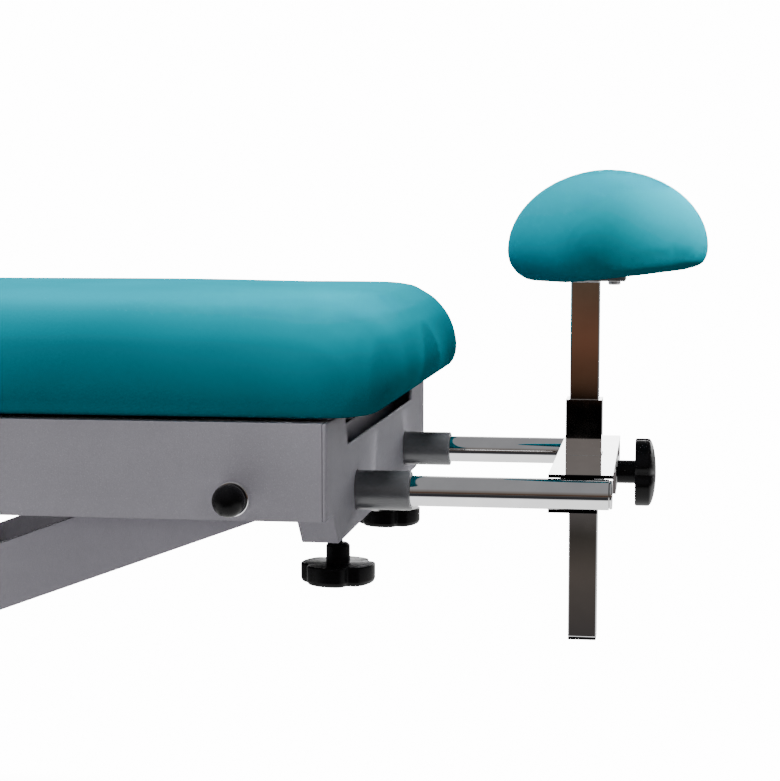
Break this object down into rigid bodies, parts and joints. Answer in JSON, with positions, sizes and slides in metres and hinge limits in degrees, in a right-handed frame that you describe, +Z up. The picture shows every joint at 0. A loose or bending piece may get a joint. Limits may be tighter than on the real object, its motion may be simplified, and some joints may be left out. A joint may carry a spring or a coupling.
{
  "type": "examination table",
  "caption": "Padded examination table on a scissor lift, with a sliding end support that carries a height-adjustable padded post clamped by hand knobs",
  "frame": {"origin": "On the floor, under the middle of the table's overall length and width, at rest height", "axes": "+X runs along the table to the foot end with the padded post, +Y to the back side, +Z up"},
  "size_m": [2.1472, 0.682, 0.7711],
  "materials": {
    "grey_paint": "fine speckled grey powder coat",
    "chrome": "bright polished plating",
    "zinc_steel": "zinc-plated steel",
    "black_plastic": "satin black moulded plastic",
    "black_rubber": "matt black rubber",
    "white_nylon": "off-white nylon",
    "teal_vinyl": "smooth teal upholstery vinyl over foam",
    "black_board": "black faced board"
  },
  "bodies": {
    "base": {"base_rail_front": "grey_paint", "base_rail_back": "grey_paint", "base_tie_foot": "grey_paint", "base_tie_head": "grey_paint", "pump_mount": "grey_paint", "base_axle": "zinc_steel", "foot_foot_front": "black_rubber", "foot_foot_back": "black_rubber", "foot_head_front": "black_rubber", "foot_head_back": "black_rubber"},
    "inner_arms": {"inner_arm_front": "grey_paint", "inner_arm_back": "grey_paint", "inner_tie": "grey_paint", "torque_tube": "grey_paint", "lever_pin": "zinc_steel", "centre_pin_front": "zinc_steel", "centre_pin_back": "zinc_steel"},
    "outer_arms": {"outer_arm_front": "grey_paint", "outer_arm_back": "grey_paint", "outer_tie": "grey_paint"},
    "table_top": {"side_rail_front": "grey_paint", "side_rail_back": "grey_paint", "foot_cross_member": "grey_paint", "head_cross_member": "grey_paint", "guide_support": "grey_paint", "guide_tube_front": "grey_paint", "guide_tube_back": "grey_paint", "board_bearer_middle": "grey_paint", "board_bearer_head": "grey_paint", "top_axle_front": "chrome", "top_axle_back": "chrome", "axle_cap_front": "black_plastic", "axle_cap_back": "black_plastic", "mattress_board": "black_board", "mattress": "teal_vinyl"},
    "upper_wheel_front": {"top_roller_front": "white_nylon"},
    "upper_wheel_back": {"top_roller_back": "white_nylon"},
    "lower_wheel_front": {"base_roller_front": "white_nylon"},
    "lower_wheel_back": {"base_roller_back": "white_nylon"},
    "tube_knob_front": {"star_knob_front": "black_plastic"},
    "tube_knob_back": {"star_knob_back": "black_plastic"},
    "outrigger": {"outrigger_tube_front": "chrome", "outrigger_tube_back": "chrome", "tube_plug_front": "chrome", "tube_plug_back": "chrome", "clamp_channel": "chrome", "post_sleeve": "chrome"},
    "post_knob": {"clamp_knob": "black_plastic"},
    "padded_post": {"post": "chrome", "post_plug": "black_plastic", "pad_plate": "zinc_steel", "pad_bolt_back": "zinc_steel", "pad_bolt_end": "zinc_steel", "pad": "teal_vinyl"},
    "pump": {"pump_cylinder": "grey_paint"},
    "ram": {"pump_ram": "chrome"},
    "pedal": {"pedal_shaft": "zinc_steel", "pedal_tread_front": "black_rubber", "pedal_tread_back": "black_rubber"}
  },
  "joints": [
    {"name": "lift", "type": "hinge", "parent": "base", "child": "inner_arms", "pos_m": [0.38588, 0, 0.075], "axis": [0, 1, 0], "range_deg": [-5, 13]},
    {"name": "outer_fold", "type": "hinge", "parent": "inner_arms", "child": "outer_arms", "pos_m": [-0.05112, 0, 0.23579], "axis": [0, 1, 0], "range_deg": [-26, 10]},
    {"name": "top_level", "type": "hinge", "parent": "outer_arms", "child": "table_top", "pos_m": [0.71588, 0, 0.518], "axis": [0, 1, 0], "range_deg": [-5, 13]},
    {"name": "upper_wheel_front_turn", "type": "hinge", "parent": "inner_arms", "child": "upper_wheel_front", "pos_m": [-0.81812, -0.2718, 0.518], "axis": [0, 1, 0], "continuous": true},
    {"name": "upper_wheel_back_turn", "type": "hinge", "parent": "inner_arms", "child": "upper_wheel_back", "pos_m": [-0.81812, 0.2718, 0.518], "axis": [0, 1, 0], "continuous": true},
    {"name": "lower_wheel_front_turn", "type": "hinge", "parent": "outer_arms", "child": "lower_wheel_front", "pos_m": [-0.48812, -0.2718, 0.075], "axis": [0, 1, 0], "continuous": true},
    {"name": "lower_wheel_back_turn", "type": "hinge", "parent": "outer_arms", "child": "lower_wheel_back", "pos_m": [-0.48812, 0.2718, 0.075], "axis": [0, 1, 0], "continuous": true},
    {"name": "tube_knob_front_turn", "type": "hinge", "parent": "table_top", "child": "tube_knob_front", "pos_m": [0.77038, -0.142, 0.475], "axis": [0, 0, 1], "range_deg": [0, 540]},
    {"name": "tube_knob_back_turn", "type": "hinge", "parent": "table_top", "child": "tube_knob_back", "pos_m": [0.77038, 0.142, 0.475], "axis": [0, 0, 1], "range_deg": [0, 540]},
    {"name": "outrigger_slide", "type": "slide", "parent": "table_top", "child": "outrigger", "axis": [1, 0, 0], "range_m": [-0.06, 0.09]},
    {"name": "post_slide", "type": "slide", "parent": "outrigger", "child": "padded_post", "axis": [0, 0, 1], "range_m": [-0.095, 0.09]},
    {"name": "post_knob_turn", "type": "hinge", "parent": "outrigger", "child": "post_knob", "pos_m": [0.99638, 0, 0.505], "axis": [1, 0, 0], "range_deg": [0, 540]},
    {"name": "pump_tilt", "type": "hinge", "parent": "base", "child": "pump", "pos_m": [-0.18313, 0, 0.128], "axis": [0, 1, 0], "range_deg": [-1, 1]},
    {"name": "ram_travel", "type": "slide", "parent": "pump", "child": "ram", "axis": [0.995, 0, 0.1001], "range_m": [-0.0102, 0.0262]},
    {"name": "pedal_press", "type": "hinge", "parent": "base", "child": "pedal", "pos_m": [-0.18313, 0, 0.128], "axis": [0, -1, 0], "range_deg": [0, 18], "stiffness_Nm_per_rad": 20, "springref_deg": -14.32}
  ],
  "couplings": [
    {"joint": "outer_fold", "follows": "lift", "ratio": -2},
    {"joint": "top_level", "follows": "lift", "ratio": 1},
    {"joint": "pump_tilt", "follows": "lift", "ratio": -0.0041},
    {"joint": "ram_travel", "follows": "lift", "m_per_rad": 0.10888}
  ]
}
